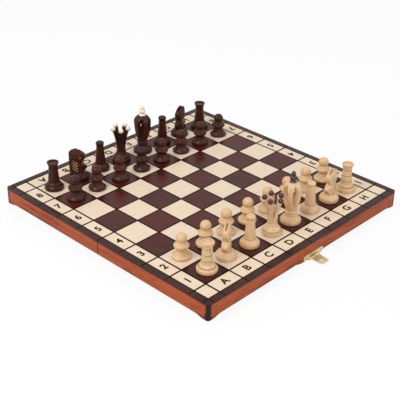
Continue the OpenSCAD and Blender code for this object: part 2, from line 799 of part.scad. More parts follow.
// The pearls and finial are of the other side's wood
module officer_tip(kind, side) {
    own = side < 0 ? 0 : 1;
    file = kind == "queen" ? queen_file : king_file;
    color(own == 0 ? dark_wood : light_wood) on_square(side, file, 0, officer_off[own][file])
        rotate(kind == "queen" ? queen_turns[own] : 0) {
            if (kind == "queen") queen_pearls();
            else king_finial();
        }
}

// ---------------------------------------------------------------- nodes

for (s = SIDES) {
    top_panel(s[2]);
    light_squares(s[2]);
    dark_squares(s[2]);
    side_wall(s[2], -1);
    side_wall(s[2], 1);
    outer_wall(s[2]);
    hinge_wall(s[2]);
    hinge_leaves(s[2]);
    hinge_screws(s[2]);
    officer_tip("queen", s[2]);
    officer_tip("king", s[2]);
    for (i = [0:files - 1]) {
        officer(back_rank[i], s[2], i);
        color(s[2] < 0 ? light_wood : dark_wood) on_square(s[2], i, 1, pawn_off[s[2] < 0 ? 0 : 1][i])
                pawn();
    }
}
hinge_pins();
clasp_plate();
clasp_pin();
clasp_nails();
clasp_flap();
clasp_catch();
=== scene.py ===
"""Folding chess box laid open as its board, with the men set up on it."""

import math

import bmesh
import bpy
import numpy
from mathutils import Matrix, Vector


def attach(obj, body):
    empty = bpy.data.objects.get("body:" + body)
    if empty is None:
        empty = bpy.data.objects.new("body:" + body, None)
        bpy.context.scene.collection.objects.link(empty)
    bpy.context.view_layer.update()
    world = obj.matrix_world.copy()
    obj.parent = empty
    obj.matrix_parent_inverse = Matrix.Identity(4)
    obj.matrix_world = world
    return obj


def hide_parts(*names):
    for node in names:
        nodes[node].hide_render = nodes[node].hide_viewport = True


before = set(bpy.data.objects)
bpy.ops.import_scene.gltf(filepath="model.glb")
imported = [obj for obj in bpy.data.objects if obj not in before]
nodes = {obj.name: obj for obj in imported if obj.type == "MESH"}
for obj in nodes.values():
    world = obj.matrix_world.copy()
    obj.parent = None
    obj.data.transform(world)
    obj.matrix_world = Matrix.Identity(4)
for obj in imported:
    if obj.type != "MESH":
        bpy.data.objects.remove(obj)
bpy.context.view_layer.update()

# --- Tray walls -----------------------------------------------------------------------------------
# Beech boards, mitred at the outer corners and glued. Their outer faces have an orange-brown stain
# in streaks along the grain; the rim, the edge below it and the outer corners are dark brown.

MM = 0.001
HALF_X = 155 * MM
HALF_Y = 157.5 * MM
TOP_Z = 19.5 * MM
EDGE_Z = 2 * MM
SQUARE = 33 * MM
STRIP_X = 148 * MM
STRIP_Y = 150.5 * MM
END_LINE_SHIFT = 0.1 * MM
TICK_WIDTH = 1.5 * MM
STAIN_DEPTH = 2.2 * MM
PANEL_UNDERSIDE_Z = 16.3 * MM


def srgb(red, green, blue):
    """A colour as 0 to 255 on a screen, as Blender's linear colour."""
    parts = [v / 255 for v in (red, green, blue)]
    return [v / 12.92 if v < 0.04045 else ((v + 0.055) / 1.055) ** 2.4 for v in parts] + [1.0]


def put(tree, kind, inputs=None, **settings):
    """Adds a node; a socket given as an input is linked, anything else is set as its value."""
    made = tree.nodes.new(kind)
    for name, value in settings.items():
        setattr(made, name, value)
    for name, value in (inputs or {}).items():
        if isinstance(value, bpy.types.NodeSocket):
            tree.links.new(value, made.inputs[name])
        else:
            made.inputs[name].default_value = value
    return made


def sum_up(tree, operation, first, second=0.5):
    """A Math node's result."""
    return put(tree, "ShaderNodeMath", {0: first, 1: second}, operation=operation).outputs[0]


def blend_colours(tree, factor, first, second):
    """A colour Mix node's result."""
    made = put(tree, "ShaderNodeMix", data_type="RGBA")
    for index, value in ((0, factor), (6, first), (7, second)):
        socket = made.inputs[index]
        if isinstance(value, bpy.types.NodeSocket):
            tree.links.new(value, socket)
        else:
            socket.default_value = value
    return made.outputs[2]


def band(tree, value, start, end):
    """0 up to start, 1 from end on, smooth in between."""
    made = put(tree, "ShaderNodeMapRange", {"Value": value, "From Min": start, "From Max": end},
               interpolation_type="SMOOTHSTEP")
    return made.outputs["Result"]


def new_group(name, inputs, outputs):
    """An empty shader node group with its named sockets; returns the tree and its two end nodes."""
    tree = bpy.data.node_groups.new(name, "ShaderNodeTree")
    for socket, kind, value in inputs:
        made = tree.interface.new_socket(socket, in_out="INPUT", socket_type=kind)
        if value is not None:
            made.default_value = value
    for socket, kind in outputs:
        tree.interface.new_socket(socket, in_out="OUTPUT", socket_type=kind)
    return tree, tree.nodes.new("NodeGroupInput"), tree.nodes.new("NodeGroupOutput")


# Wood grain: long wavering streaks, short fibres between them, and slow patches of tone
grain, g_in, g_out = new_group(
    "wood_grain",
    [("Vector", "NodeSocketVector", None), ("Streak Scale", "NodeSocketFloat", 300.0),
     ("Length", "NodeSocketFloat", 14.0), ("Waver", "NodeSocketFloat", 0.15),
     ("Seed", "NodeSocketFloat", 0.0)],
    [("Streak", "NodeSocketFloat"), ("Fibre", "NodeSocketFloat"), ("Patch", "NodeSocketFloat")])
patches = put(grain, "ShaderNodeTexNoise",
              {"Vector": g_in.outputs["Vector"], "Scale": 28.0, "Detail": 2.0,
               "W": g_in.outputs["Seed"]}, noise_dimensions="4D")
sideways = sum_up(grain, "MULTIPLY", patches.outputs[0], g_in.outputs["Waver"])
shifted = put(grain, "ShaderNodeVectorMath", {0: g_in.outputs["Vector"], 1: (0, 0, 0)},
              operation="ADD")
pushed = put(grain, "ShaderNodeCombineXYZ", {"Y": sum_up(grain, "MULTIPLY", sideways, 0.05),
                                             "Z": sum_up(grain, "MULTIPLY", sideways, 0.04)})
grain.links.new(pushed.outputs[0], shifted.inputs[1])
across = put(grain, "ShaderNodeVectorMath", {0: shifted.outputs[0]}, operation="MULTIPLY")
stretch = put(grain, "ShaderNodeCombineXYZ",
              {"X": g_in.outputs["Length"], "Y": g_in.outputs["Streak Scale"],
               "Z": g_in.outputs["Streak Scale"]})
grain.links.new(stretch.outputs[0], across.inputs[1])
streaks = put(grain, "ShaderNodeTexNoise",
              {"Vector": across.outputs[0], "Scale": 1.0, "Detail": 4.0, "Roughness": 0.6,
               "W": g_in.outputs["Seed"]}, noise_dimensions="4D")
finer = put(grain, "ShaderNodeVectorMath", {0: across.outputs[0], 1: (6.0, 4.5, 4.5)},
            operation="MULTIPLY")
fibres = put(grain, "ShaderNodeTexNoise",
             {"Vector": finer.outputs[0], "Scale": 1.0, "Detail": 2.0, "W": g_in.outputs["Seed"]},
             noise_dimensions="4D")
for label, texture, low, high in (("Streak", streaks, 0.32, 0.68), ("Fibre", fibres, 0.35, 0.65),
                                  ("Patch", patches, 0.3, 0.7)):
    grain.links.new(band(grain, texture.outputs[0], low, high), g_out.inputs[label])


# The grid of the board: 1 on a line between two squares or cells, and on its tick across the rim
grid, g_in, g_out = new_group(
    "board_grid", [("Vector", "NodeSocketVector", None), ("Width", "NodeSocketFloat", 1.4 * MM)],
    [("Line", "NodeSocketFloat")])
place = put(grid, "ShaderNodeSeparateXYZ", {0: g_in.outputs["Vector"]}).outputs
nearest = []
for axis, end in ((0, STRIP_X + END_LINE_SHIFT), (1, STRIP_Y + END_LINE_SHIFT)):
    from_middle = sum_up(grid, "ABSOLUTE", place[axis])
    to_line = sum_up(grid, "PINGPONG", from_middle, SQUARE / 2)
    to_end = sum_up(grid, "ABSOLUTE", sum_up(grid, "SUBTRACT", from_middle, end))
    nearest.append(sum_up(grid, "MINIMUM", to_line, to_end))
inside_line = sum_up(grid, "SUBTRACT", sum_up(grid, "MULTIPLY", g_in.outputs["Width"], 0.5),
                     sum_up(grid, "MINIMUM", nearest[0], nearest[1]))
grid.links.new(band(grid, inside_line, -0.12 * MM, 0.04 * MM), g_out.inputs["Line"])


def new_finish(name):
    """A material with its tree, its Principled shader and the Object coordinates."""
    made = bpy.data.materials.new(name)
    made.use_nodes = True
    tree = made.node_tree
    shader = tree.nodes["Principled BSDF"]
    where = tree.nodes.new("ShaderNodeTexCoord").outputs["Object"]
    return made, tree, shader, where


def along(tree, where, axis):
    """The coordinates turned so that the group's grain, which runs along X, follows this axis."""
    turns = {"X": (0, 0, 0), "Y": (0, 0, math.pi / 2), "Z": (0, math.pi / 2, 0)}
    return put(tree, "ShaderNodeMapping", {"Vector": where, "Rotation": turns[axis]}).outputs[0]


def grained(tree, vector, scale, length, waver=0.15, seed=0.0):
    """The wood_grain group, placed with its own values."""
    return put(tree, "ShaderNodeGroup", {"Vector": vector, "Streak Scale": scale, "Length": length,
                                         "Waver": waver, "Seed": seed}, node_tree=grain).outputs


def roughen(tree, shader, height, distance):
    """Bump from a height, in metres of depth."""
    made = put(tree, "ShaderNodeBump", {"Height": height, "Distance": distance, "Strength": 1.0})
    tree.links.new(made.outputs[0], shader.inputs["Normal"])


def wall_finish(name, axis, seed):
    """Stained wood with its grain along one axis, dark on top and at the corners, bare inside."""
    made, tree, shader, where = new_finish(name)
    wood = grained(tree, along(tree, where, axis), 420.0, 9.0, 0.3, seed)
    stain = blend_colours(tree, wood["Streak"], srgb(124, 44, 18), srgb(188, 90, 48))
    stain = blend_colours(tree, sum_up(tree, "MULTIPLY", wood["Patch"], 0.6), stain,
                          srgb(190, 92, 48))
    stain = blend_colours(tree, sum_up(tree, "MULTIPLY", wood["Fibre"], 0.3), stain,
                          srgb(104, 38, 18))
    place = put(tree, "ShaderNodeSeparateXYZ", {0: where}).outputs
    wander = put(tree, "ShaderNodeTexNoise",
                 {"Vector": where, "Scale": 240.0, "Detail": 3.0}).outputs[0]
    uneven = sum_up(tree, "SUBTRACT", wander, 0.5)
    from_x = sum_up(tree, "SUBTRACT", HALF_X, sum_up(tree, "ABSOLUTE", place[0]))
    from_y = sum_up(tree, "SUBTRACT", HALF_Y, sum_up(tree, "ABSOLUTE", place[1]))
    # painted shade darkens the walls along their lower edge
    low = sum_up(tree, "MULTIPLY", band(tree, place[2], EDGE_Z + 1.5 * MM, EDGE_Z + 0.3 * MM),
                 0.55)
    stain = blend_colours(tree, low, stain, srgb(92, 36, 20))
    # inside the trays the wood is left bare
    bare = blend_colours(tree, wood["Streak"], srgb(196, 158, 112), srgb(222, 190, 146))
    inside = sum_up(tree, "MULTIPLY",
                    band(tree, sum_up(tree, "MINIMUM", from_x, from_y), 5.4 * MM, 6 * MM),
                    sum_up(tree, "LESS_THAN", place[2], PANEL_UNDERSIDE_Z))
    off_seam = sum_up(tree, "GREATER_THAN", sum_up(tree, "ABSOLUTE", place[1]), 1 * MM)
    stain = blend_colours(tree, sum_up(tree, "MULTIPLY", inside, off_seam), stain, bare)
    # dark stain on the rim and a little way down from it, and a scorched stripe down each corner
    dark = blend_colours(tree, wood["Streak"], srgb(36, 14, 9), srgb(64, 31, 22))
    dark = blend_colours(tree, sum_up(tree, "MULTIPLY", wood["Patch"], 0.5), dark,
                         srgb(78, 40, 29))
    near_black = srgb(20, 10, 8)
    ragged = sum_up(tree, "MULTIPLY", uneven, 5 * MM)
    to_corner = sum_up(tree, "ADD", sum_up(tree, "MAXIMUM", from_x, from_y), ragged)
    scorch = sum_up(tree, "MULTIPLY", band(tree, to_corner, 5 * MM, 3.4 * MM), 0.94)
    stain = blend_colours(tree, scorch, stain, near_black)
    height = sum_up(tree, "ADD", place[2], sum_up(tree, "MULTIPLY", uneven, 0.9 * MM))
    stain_end = TOP_Z - STAIN_DEPTH
    stain = blend_colours(tree, band(tree, height, TOP_Z - 2.5 * MM, stain_end), stain, dark)
    crease = sum_up(tree, "ABSOLUTE", sum_up(tree, "SUBTRACT", height, stain_end))
    crease = sum_up(tree, "MULTIPLY", band(tree, crease, 0.5 * MM, 0.2 * MM), 0.7)
    stain = blend_colours(tree, crease, stain, near_black)
    # burnt ticks across the rim, and painted shade at the gap between the two trays: a dark band
    # down the seam, over the faces that meet there
    ticks = put(tree, "ShaderNodeGroup", {"Vector": where, "Width": TICK_WIDTH},
                node_tree=grid).outputs[0]
    on_top = band(tree, place[2], TOP_Z - 0.6 * MM, TOP_Z - 0.5 * MM)
    stain = blend_colours(tree, sum_up(tree, "MULTIPLY", ticks, on_top), stain, near_black)
    seam_shade = band(tree, sum_up(tree, "ABSOLUTE", place[1]), 1 * MM, 0.5 * MM)
    stain = blend_colours(tree, sum_up(tree, "MULTIPLY", seam_shade, 0.9), stain, near_black)
    tree.links.new(stain, shader.inputs["Base Color"])
    roughness = sum_up(tree, "ADD", sum_up(tree, "MULTIPLY", wood["Fibre"], 0.14), 0.3)
    tree.links.new(roughness, shader.inputs["Roughness"])
    shader.inputs["Specular IOR Level"].default_value = 0.18
    roughen(tree, shader, wood["Streak"], 0.05 * MM)
    return made


def dress(node, finish):
    """Gives a CAD node its material."""
    node.data.materials.clear()
    node.data.materials.append(finish)


walls_along_y = wall_finish("stained_wall_y", "Y", 1.0)
walls_along_x = wall_finish("stained_wall_x", "X", 4.0)
for tray in ("near", "far"):
    for side in ("left", "right"):
        dress(nodes[f"{tray}_{side}_wall"], walls_along_y)
    for side in ("outer", "hinge"):
        dress(nodes[f"{tray}_{side}_wall"], walls_along_x)

# --- Top panels -----------------------------------------------------------------------------------
# A thin plywood panel is let into each tray's walls. Its top shows only as the burnt lines
# between the squares; its underside, the floor of the box when it is folded, is bare birch.

panel_finish, tree, shader, where = new_finish("panel_birch")
wood = grained(tree, along(tree, where, "X"), 260.0, 7.0, 0.5, 2.0)
bare = blend_colours(tree, wood["Streak"], srgb(205, 170, 124), srgb(228, 198, 156))
height = put(tree, "ShaderNodeSeparateXYZ", {0: where}).outputs[2]
near_black = blend_colours(tree, wood["Fibre"], srgb(24, 13, 10), srgb(44, 26, 20))
tree.links.new(blend_colours(tree, band(tree, height, 18.2 * MM, 18.4 * MM), bare, near_black),
               shader.inputs["Base Color"])
shader.inputs["Roughness"].default_value = 0.6
shader.inputs["Specular IOR Level"].default_value = 0.2
roughen(tree, shader, wood["Fibre"], 0.04 * MM)
for tray in ("near", "far"):
    dress(nodes[f"{tray}_top_panel"], panel_finish)

# --- Light squares and coordinate strips ----------------------------------------------------------
# Birch veneer under a thin satin varnish: cream, with fine pale grain that runs the same way on
# each piece. The letters and numbers are burnt into the strips.

LINE_WIDTH = 2.1 * MM

light_veneer, tree, shader, where = new_finish("light_veneer")
wood = grained(tree, along(tree, where, "X"), 520.0, 22.0, 0.35, 7.0)
cream = blend_colours(tree, wood["Streak"], srgb(223, 202, 178), srgb(238, 220, 200))
cream = blend_colours(tree, sum_up(tree, "MULTIPLY", wood["Patch"], 0.45), cream,
                      srgb(235, 212, 184))
cream = blend_colours(tree, sum_up(tree, "MULTIPLY", wood["Fibre"], 0.25), cream,
                      srgb(216, 186, 150))
lines = put(tree, "ShaderNodeGroup", {"Vector": where, "Width": LINE_WIDTH},
            node_tree=grid).outputs[0]
tree.links.new(blend_colours(tree, lines, cream, srgb(30, 14, 10)), shader.inputs["Base Color"])
shader.inputs["Roughness"].default_value = 0.4
shader.inputs["Specular IOR Level"].default_value = 0.2
roughen(tree, shader, wood["Fibre"], 0.015 * MM)
for tray in ("near", "far"):
    dress(nodes[f"{tray}_light_squares"], light_veneer)

# --- Dark squares ---------------------------------------------------------------------------------
# The same veneer, stained maroon brown and varnished. The stain takes unevenly: darker threads of
# grain and slow red patches show through it.

dark_veneer, tree, shader, where = new_finish("dark_veneer")
wood = grained(tree, along(tree, where, "Y"), 430.0, 16.0, 0.35, 12.0)
maroon = blend_colours(tree, wood["Streak"], srgb(50, 17, 12), srgb(84, 36, 27))
maroon = blend_colours(tree, sum_up(tree, "MULTIPLY", wood["Patch"], 0.55), maroon,
                       srgb(100, 31, 21))
maroon = blend_colours(tree, sum_up(tree, "MULTIPLY", wood["Fibre"], 0.35), maroon,
                       srgb(34, 12, 10))
lines = put(tree, "ShaderNodeGroup", {"Vector": where, "Width": LINE_WIDTH},
            node_tree=grid).outputs[0]
tree.links.new(blend_colours(tree, lines, maroon, srgb(22, 10, 8)), shader.inputs["Base Color"])
roughness = sum_up(tree, "ADD", sum_up(tree, "MULTIPLY", wood["Streak"], 0.1), 0.22)
tree.links.new(roughness, shader.inputs["Roughness"])
shader.inputs["Specular IOR Level"].default_value = 0.16
roughen(tree, shader, wood["Streak"], 0.02 * MM)
for tray in ("near", "far"):
    dress(nodes[f"{tray}_dark_squares"], dark_veneer)

# --- Burnt lines ----------------------------------------------------------------------------------
# Before varnishing, the grid is burnt into the board with hot blades. What shows at the bottom of
# each groove is char: a black, slightly crumbled strip from one rim to the other.

RANK_LINE_Z = TOP_Z - 0.53 * MM
FILE_LINE_Z = TOP_Z - 0.52 * MM
SEAM_GAP = 0.25 * MM

char_black, tree, shader, where = new_finish("char_black")
crumbs = put(tree, "ShaderNodeTexNoise",
             {"Vector": where, "Scale": 1400.0, "Detail": 3.0}).outputs[0]
tree.links.new(blend_colours(tree, crumbs, srgb(14, 8, 6), srgb(48, 28, 20)),
               shader.inputs["Base Color"])
shader.inputs["Roughness"].default_value = 0.85
shader.inputs["Specular IOR Level"].default_value = 0.1
roughen(tree, shader, crumbs, 0.08 * MM)

burning = bpy.data.node_groups.new("burnt_lines", "GeometryNodeTree")
sockets = {}
for socket, kind, value in (
        ("First Line", "NodeSocketFloat", 33 * MM), ("Spacing", "NodeSocketFloat", SQUARE),
        ("Lines", "NodeSocketInt", 4), ("End Line", "NodeSocketFloat", 150 * MM),
        ("End Lines", "NodeSocketInt", 1), ("Length", "NodeSocketFloat", 295 * MM),
        ("Width", "NodeSocketFloat", 0.96 * MM), ("Depth", "NodeSocketFloat", 0.12 * MM),
        ("Char", "NodeSocketMaterial", None)):
    made = burning.interface.new_socket(socket, in_out="INPUT", socket_type=kind)
    if value is not None:
        made.default_value = value
    sockets[socket] = made.identifier
burning.interface.new_socket("Geometry", in_out="OUTPUT", socket_type="NodeSocketGeometry")
g_in = burning.nodes.new("NodeGroupInput").outputs
g_out = burning.nodes.new("NodeGroupOutput")
first = put(burning, "ShaderNodeCombineXYZ", {"X": g_in["First Line"]}).outputs[0]
step = put(burning, "ShaderNodeCombineXYZ", {"X": g_in["Spacing"]}).outputs[0]
regular = put(burning, "GeometryNodeMeshLine",
              {"Count": g_in["Lines"], "Start Location": first, "Offset": step})
end = put(burning, "ShaderNodeCombineXYZ", {"X": g_in["End Line"]}).outputs[0]
across = put(burning, "ShaderNodeCombineXYZ",
             {"X": sum_up(burning, "MULTIPLY", g_in["End Line"], -2.0)}).outputs[0]
outer = put(burning, "GeometryNodeMeshLine",
            {"Count": g_in["End Lines"], "Start Location": end, "Offset": across})
places = burning.nodes.new("GeometryNodeJoinGeometry")
for line in (regular, outer):
    burning.links.new(line.outputs[0], places.inputs[0])
size = put(burning, "ShaderNodeCombineXYZ",
           {"X": g_in["Width"], "Y": g_in["Length"], "Z": g_in["Depth"]}).outputs[0]
strip = put(burning, "GeometryNodeMeshCube", {"Size": size, "Vertices Y": 60}).outputs[0]
laid = put(burning, "GeometryNodeInstanceOnPoints",
           {"Points": places.outputs[0], "Instance": strip})
real = put(burning, "GeometryNodeRealizeInstances", {0: laid.outputs[0]})
charred = put(burning, "GeometryNodeSetMaterial",
              {"Geometry": real.outputs[0], "Material": g_in["Char"]})
burning.links.new(charred.outputs[0], g_out.inputs[0])


def burnt_lines(name, body, values, turn, centre):
    """One tray's lines of one direction, drawn along Y, then turned and moved into the grooves."""
    blank = bpy.data.objects.new(name, bpy.data.meshes.new(name))
    bpy.context.scene.collection.objects.link(blank)
    lines = blank.modifiers.new("lines", "NODES")
    lines.node_group = burning
    for socket, value in {**values, "Char": char_black}.items():
        lines[sockets[socket]] = value
    evaluated = blank.evaluated_get(bpy.context.evaluated_depsgraph_get())
    mesh = bpy.data.meshes.new_from_object(evaluated)
    blank.modifiers.clear()
    mesh.transform(Matrix.Translation(centre) @ Matrix.Rotation(turn, 4, "Z"))
    blank.data = mesh
    dress(blank, char_black)
    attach(blank, body)


for tray, side in (("near", -1), ("far", 1)):
    burnt_lines(f"{tray}_lines_along_ranks", f"{tray}_half", {"Length": 2 * STRIP_X - 0.1 * MM},
                side * math.pi / 2, (0, 0, RANK_LINE_Z))
    length = STRIP_Y - 0.3 * MM
    burnt_lines(f"{tray}_lines_along_files", f"{tray}_half",
                {"First Line": -4 * SQUARE, "Lines": 9, "End Line": STRIP_X - 0.5 * MM,
                 "End Lines": 2, "Length": length},
                0, (0, side * (length / 2 + SEAM_GAP), FILE_LINE_Z))

# --- Letters and numbers --------------------------------------------------------------------------
# The coordinates are burnt into the strips with a hot stamp: blackish brown, with a soft edge.
# Each player reads one strip of letters and one of numbers the right way up.

FILES = "ABCDEFGH"
STAMP_SIZE = 12.3 * MM
LETTER_Y = 141.25 * MM
NUMBER_X = 140 * MM
STAMP_LIFT = 0.01 * MM
STAMP_FLATNESS = 0.06

stamp, tree, shader, where = new_finish("burnt_stamp")
char = put(tree, "ShaderNodeTexNoise", {"Vector": where, "Scale": 900.0, "Detail": 3.0}).outputs[0]
tree.links.new(blend_colours(tree, char, srgb(24, 12, 8), srgb(58, 34, 22)),
               shader.inputs["Base Color"])
shader.inputs["Roughness"].default_value = 0.7
shader.inputs["Specular IOR Level"].default_value = 0.1


def stamped(letter, centre, turn, tray, name):
    """One character, thickened all round and pressed flat onto the veneer."""
    curve = bpy.data.curves.new(name, "FONT")
    curve.body = letter
    curve.size = STAMP_SIZE
    curve.align_x = "CENTER"
    curve.offset = 0.15 * MM
    curve.bevel_depth = 0.32 * MM
    text = bpy.data.objects.new(name, curve)
    mesh = bpy.data.meshes.new_from_object(text)
    bpy.data.objects.remove(text)
    mesh.transform(Matrix.Diagonal((1, 1, STAMP_FLATNESS, 1)))
    low = min(v.co.y for v in mesh.vertices)
    high = max(v.co.y for v in mesh.vertices)
    left = min(v.co.x for v in mesh.vertices)
    right = max(v.co.x for v in mesh.vertices)
    mesh.transform(Matrix.Translation((centre[0], centre[1], TOP_Z + STAMP_LIFT))
                   @ Matrix.Rotation(turn, 4, "Z")
                   @ Matrix.Translation((-(left + right) / 2, -(low + high) / 2, 0)))
    made = bpy.data.objects.new(name, mesh)
    bpy.context.scene.collection.objects.link(made)
    dress(made, stamp)
    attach(made, f"{tray}_half")


for index, letter in enumerate(FILES):
    x = (index - 3.5) * SQUARE
    stamped(letter, (x, -LETTER_Y), 0, "near", f"stamp_near_{letter}")
    stamped(letter, (x, LETTER_Y), math.pi, "far", f"stamp_far_{letter}")
for rank in range(1, 9):
    y = (rank - 4.5) * SQUARE
    tray = "near" if rank < 5 else "far"
    stamped(str(rank), (-NUMBER_X, y), 0, tray, f"stamp_left_{rank}")
    stamped(str(rank), (NUMBER_X, y), math.pi, tray, f"stamp_right_{rank}")

# --- Hinges and clasp -----------------------------------------------------------------------------
# Two small brass hinges join the trays from below, each with a wire pin and four screws. The clasp
# is pressed from pale brass sheet: a nailed plate, a wire pin and a swinging flap with a hole.

brass, tree, shader, where = new_finish("pale_brass")
scuff = put(tree, "ShaderNodeTexNoise", {"Vector": where, "Scale": 700.0, "Detail": 4.0}).outputs[0]
tarnish = put(tree, "ShaderNodeTexNoise",
              {"Vector": where, "Scale": 120.0, "Detail": 2.0}).outputs[0]
tree.links.new(blend_colours(tree, band(tree, tarnish, 0.4, 0.75), srgb(230, 214, 172),
                             srgb(204, 180, 132)), shader.inputs["Base Color"])
shader.inputs["Metallic"].default_value = 0.7
roughness = sum_up(tree, "ADD", sum_up(tree, "MULTIPLY", scuff, 0.2), 0.24)
tree.links.new(roughness, shader.inputs["Roughness"])
roughen(tree, shader, scuff, 0.01 * MM)

wire, tree, shader, where = new_finish("drawn_wire")
scuff = put(tree, "ShaderNodeTexNoise", {"Vector": where, "Scale": 1500.0, "Detail": 2.0}).outputs[0]
tree.links.new(blend_colours(tree, scuff, srgb(150, 138, 116), srgb(196, 182, 152)),
               shader.inputs["Base Color"])
shader.inputs["Metallic"].default_value = 1.0
shader.inputs["Roughness"].default_value = 0.35

for part in ("near_hinge_leaves", "far_hinge_leaves", "near_hinge_screws", "far_hinge_screws",
             "clasp_plate", "clasp_nails", "clasp_flap", "clasp_catch"):
    dress(nodes[part], brass)
for part in ("hinge_pins", "clasp_pin"):
    dress(nodes[part], wire)

# --- Men ------------------------------------------------------------------------------------------
# Turned from beech. One side is left pale under clear varnish; the other is stained dark
# red-brown. Some grooves are scorched with a wire while the man is still in the lathe.


def man_finish(name, dark, rings, seed):
    """Turned wood with scorched rings at these heights above the board, in mm."""
    made, tree, shader, where = new_finish(name)
    wood = grained(tree, along(tree, where, "Z"), 700.0, 60.0, 0.3, seed)
    if dark:
        tone = blend_colours(tree, wood["Streak"], srgb(34, 13, 9), srgb(68, 30, 20))
        tone = blend_colours(tree, sum_up(tree, "MULTIPLY", wood["Patch"], 0.5), tone,
                             srgb(86, 42, 28))
        scorched = srgb(14, 6, 5)
    else:
        tone = blend_colours(tree, wood["Streak"], srgb(208, 170, 128), srgb(230, 198, 160))
        tone = blend_colours(tree, sum_up(tree, "MULTIPLY", wood["Patch"], 0.5), tone,
                             srgb(218, 178, 132))
        scorched = srgb(96, 60, 34)
    height = sum_up(tree, "SUBTRACT", put(tree, "ShaderNodeSeparateXYZ", {0: where}).outputs[2],
                    TOP_Z)
    apart = None
    for ring in rings:
        here = sum_up(tree, "ABSOLUTE", sum_up(tree, "SUBTRACT", height, ring * MM))
        apart = here if apart is None else sum_up(tree, "MINIMUM", apart, here)
    if apart is not None:
        depth = 0.8 if len(rings) > 1 else 0.35
        mark = sum_up(tree, "MULTIPLY", band(tree, apart, 0.55 * MM, 0.15 * MM), depth)
        tone = blend_colours(tree, mark, tone, scorched)
    tree.links.new(tone, shader.inputs["Base Color"])
    roughness = sum_up(tree, "ADD", sum_up(tree, "MULTIPLY", wood["Fibre"], 0.1),
                       0.24 if dark else 0.36)
    tree.links.new(roughness, shader.inputs["Roughness"])
    shader.inputs["Specular IOR Level"].default_value = 0.2 if dark else 0.25
    roughen(tree, shader, wood["Fibre"], 0.02 * MM)
    return made


RINGS = {"pawn": (), "rook": (5.9, 12.9, 19.5, 26.1), "knight": (), "bishop": (8.5,),
         "queen": (4.3,), "king": ()}
woods = {(kind, side): man_finish(f"{side}_{kind}_wood", side == "dark", rings, 21.0 + index)
         for index, (kind, rings) in enumerate(RINGS.items()) for side in ("light", "dark")}
SIDES = ("light", "dark")
for name, node in nodes.items():
    side, kind = name.split("_")[:2]
    if side in SIDES:
        dress(node, woods[kind, side])

# --- Pearls and finials ---------------------------------------------------------------------------
# The queens' five pearls and the kings' finials are turned apart and glued on. They carry the
# other side's colour: painted cream on the dark men, stained dark red-brown on the light ones.

cream_paint, tree, shader, where = new_finish("cream_paint")
thin = put(tree, "ShaderNodeTexNoise", {"Vector": where, "Scale": 260.0, "Detail": 3.0}).outputs[0]
tree.links.new(blend_colours(tree, band(tree, thin, 0.4, 0.7), srgb(244, 234, 214),
                             srgb(226, 206, 176)), shader.inputs["Base Color"])
shader.inputs["Roughness"].default_value = 0.35
roughen(tree, shader, thin, 0.03 * MM)
red_stain, tree, shader, where = new_finish("red_brown_stain")
thin = put(tree, "ShaderNodeTexNoise", {"Vector": where, "Scale": 260.0, "Detail": 3.0}).outputs[0]
tree.links.new(blend_colours(tree, band(tree, thin, 0.35, 0.7), srgb(52, 20, 18), srgb(88, 40, 34)),
               shader.inputs["Base Color"])
shader.inputs["Roughness"].default_value = 0.3
roughen(tree, shader, thin, 0.03 * MM)
for side, finish in (("light", red_stain), ("dark", cream_paint)):
    dress(nodes[f"{side}_queen_pearls"], finish)
    dress(nodes[f"{side}_king_finial"], finish)

# --- Knights, queens and kings --------------------------------------------------------------------
# After turning, these are sawn and milled: the knights' heads, the queens' prongs and the kings'
# flutes. Their edges are sanded soft. Their hollows carry painted shade, and their edges are paler,
# as wear and as a painted highlight.


KNIGHT_H = 38 * MM
KNIGHT_TURNS = {"light_knight_b": 213, "light_knight_g": 188,
                "dark_knight_b": -42, "dark_knight_g": 198}
EAR_CUT = 3.6 * MM
STROKE_TILT = math.radians(36)
STROKE_MIDDLE_X = -4.2 * MM
EYE_X = 1.6 * MM
EYE_HEIGHT = 0.735
VOXEL = 0.32 * MM
RUBBING_PASSES = 4


def fade(values, start, end):
    """0 up to start, 1 from end on, smooth in between, for an array."""
    part = numpy.clip((values - start) / (end - start), 0, 1)
    return part * part * (3 - 2 * part)


